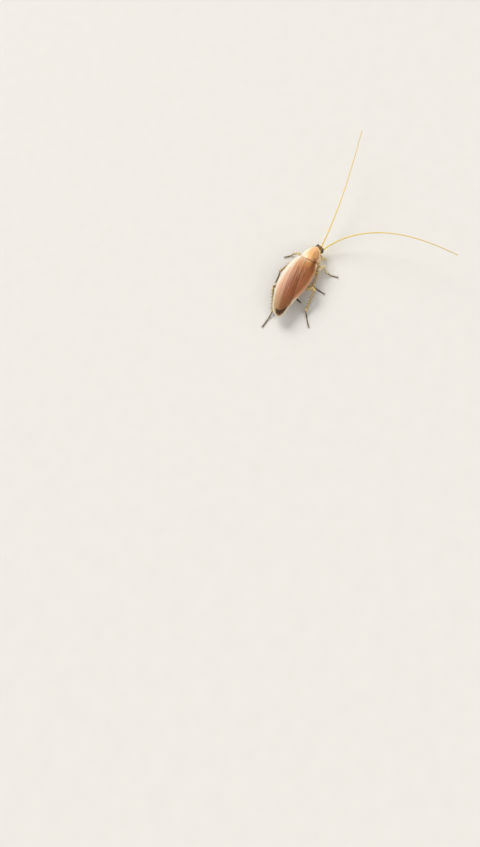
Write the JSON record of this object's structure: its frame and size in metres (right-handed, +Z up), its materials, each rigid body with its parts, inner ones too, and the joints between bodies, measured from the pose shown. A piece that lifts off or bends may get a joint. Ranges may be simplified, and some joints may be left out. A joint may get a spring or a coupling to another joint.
{
  "type": "cockroach model",
  "caption": "Still life-size model of a small tan winged cockroach standing on its feet, wings closed, feelers held forward and to the side.",
  "frame": {"origin": "under the middle of the model's box, on the floor that the feet stand on", "axes": "+X forward from the wing tips to the head, +Y to the animal's left, +Z up"},
  "size_m": [0.0378, 0.025, 0.005],
  "materials": {
    "wing": "translucent, satin",
    "shield": "glossy amber",
    "skin": "satin",
    "belly": "satin",
    "face": "satin",
    "eye": "glossy black",
    "leg": "satin",
    "foot": "satin",
    "feeler": "matte",
    "tail": "matte"
  },
  "bodies": {
    "root": {"abdomen": "belly", "antenna_left_base": "feeler", "antenna_left_middle": "feeler", "antenna_left_near": "feeler", "antenna_left_tip": "feeler", "antenna_right_base": "feeler", "antenna_right_middle": "feeler", "antenna_right_near": "feeler", "antenna_right_tip": "feeler", "cercus_left": "tail", "cercus_right": "tail", "coxa_front_left": "leg", "coxa_front_right": "leg", "coxa_hind_left": "leg", "coxa_hind_right": "leg", "coxa_middle_left": "leg", "coxa_middle_right": "leg", "eye_left": "eye", "eye_right": "eye", "femur_front_left": "leg", "femur_front_right": "leg", "femur_hind_left": "leg", "femur_hind_right": "leg", "femur_middle_left": "leg", "femur_middle_right": "leg", "head": "face", "mesothorax": "skin", "metathorax": "skin", "mouthparts": "face", "palp_left": "feeler", "palp_right": "feeler", "pronotum": "shield", "prothorax": "skin", "tarsus_front_left": "foot", "tarsus_front_right": "foot", "tarsus_hind_left": "foot", "tarsus_hind_right": "foot", "tarsus_middle_left": "foot", "tarsus_middle_right": "foot", "tegmen_left": "wing", "tegmen_right": "wing", "tibia_front_left": "leg", "tibia_front_right": "leg", "tibia_hind_left": "leg", "tibia_hind_right": "leg", "tibia_middle_left": "leg", "tibia_middle_right": "leg"}
  },
  "joints": []
}
